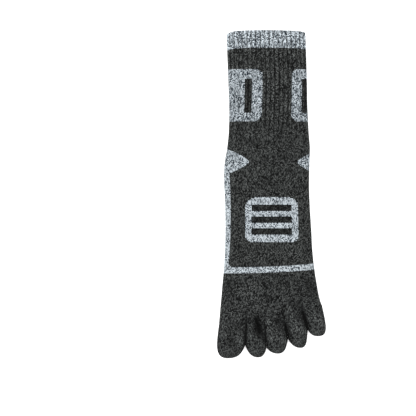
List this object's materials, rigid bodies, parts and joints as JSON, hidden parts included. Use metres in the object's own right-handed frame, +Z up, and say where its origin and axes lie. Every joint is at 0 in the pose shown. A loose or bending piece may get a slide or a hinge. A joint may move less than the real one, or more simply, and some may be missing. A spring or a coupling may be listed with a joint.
{
  "type": "toe sock",
  "caption": "Knitted crew sock with a pocket for each toe, lying flat with the instep up: light ribbed cuff, dark leg and foot, light heel, sole and band, hollow from mouth to toes.",
  "frame": {"origin": "on the surface that the sock lies on, under the middle of its outline", "axes": "+X across the sock to the little-toe side, +Y along it from the toes to the cuff, +Z up, out of the instep"},
  "size_m": [0.1178, 0.3542, 0.0189],
  "materials": {
    "light_grey_marl_knit": "thick cotton terry knit of a white and a blue-grey yarn, matt, slightly fuzzy",
    "charcoal_knit": "thick cotton terry knit of black and mid-grey yarn, matt, slightly fuzzy"
  },
  "bodies": {
    "root": {"cuff": "light_grey_marl_knit", "heel": "light_grey_marl_knit", "sole": "light_grey_marl_knit", "foot_band": "light_grey_marl_knit", "leg": "charcoal_knit", "instep": "charcoal_knit", "forefoot": "charcoal_knit", "big_toe": "charcoal_knit", "second_toe": "charcoal_knit", "middle_toe": "charcoal_knit", "fourth_toe": "charcoal_knit", "little_toe": "charcoal_knit"}
  },
  "joints": []
}
